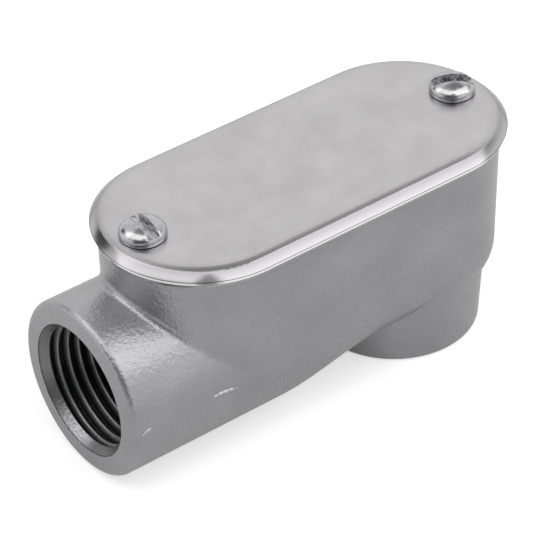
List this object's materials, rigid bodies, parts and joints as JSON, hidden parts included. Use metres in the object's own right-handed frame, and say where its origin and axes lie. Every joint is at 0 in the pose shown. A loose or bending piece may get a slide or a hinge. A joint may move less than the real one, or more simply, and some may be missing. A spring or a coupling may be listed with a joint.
{
  "type": "conduit body",
  "caption": "Cast metal conduit body with a run hub at one end, a hub through its back, a hollow wiring chamber and a screwed-on stamped cover over a rubber gasket.",
  "frame": {"origin": "centre of the back hub's mouth, at its face", "axes": "+Z from the back hub up to the cover, -X out of the run hub, Y across the body"},
  "size_m": [0.0767, 0.0322, 0.0387],
  "materials": {
    "body_casting": "satin cast, painted grey",
    "cover": "satin, rim polished by stamping",
    "cover_gasket": "matte",
    "cover_screws": "bright plated"
  },
  "bodies": {
    "casting": {"body_casting": "body_casting"},
    "cover": {"cover": "cover", "cover_gasket": "cover_gasket"},
    "near_screw": {"near_cover_screw": "cover_screws"},
    "far_screw": {"far_cover_screw": "cover_screws"}
  },
  "joints": [
    {"name": "cover_lift", "type": "slide", "parent": "casting", "child": "cover", "axis": [0, 0, 1], "range_m": [0, 0.0075]},
    {"name": "near_screw_turn", "type": "hinge", "parent": "cover", "child": "near_screw", "pos_m": [-0.0465, 0, 0.0364], "axis": [0, 0, 1], "range_deg": [0, 3402]},
    {"name": "far_screw_turn", "type": "hinge", "parent": "cover", "child": "far_screw", "pos_m": [0.0114, 0, 0.0364], "axis": [0, 0, 1], "range_deg": [0, 3402]}
  ],
  "couplings": [
    {"joint": "near_screw_turn", "follows": "cover_lift", "rad_per_m": 7915.8},
    {"joint": "far_screw_turn", "follows": "cover_lift", "rad_per_m": 7915.8}
  ]
}
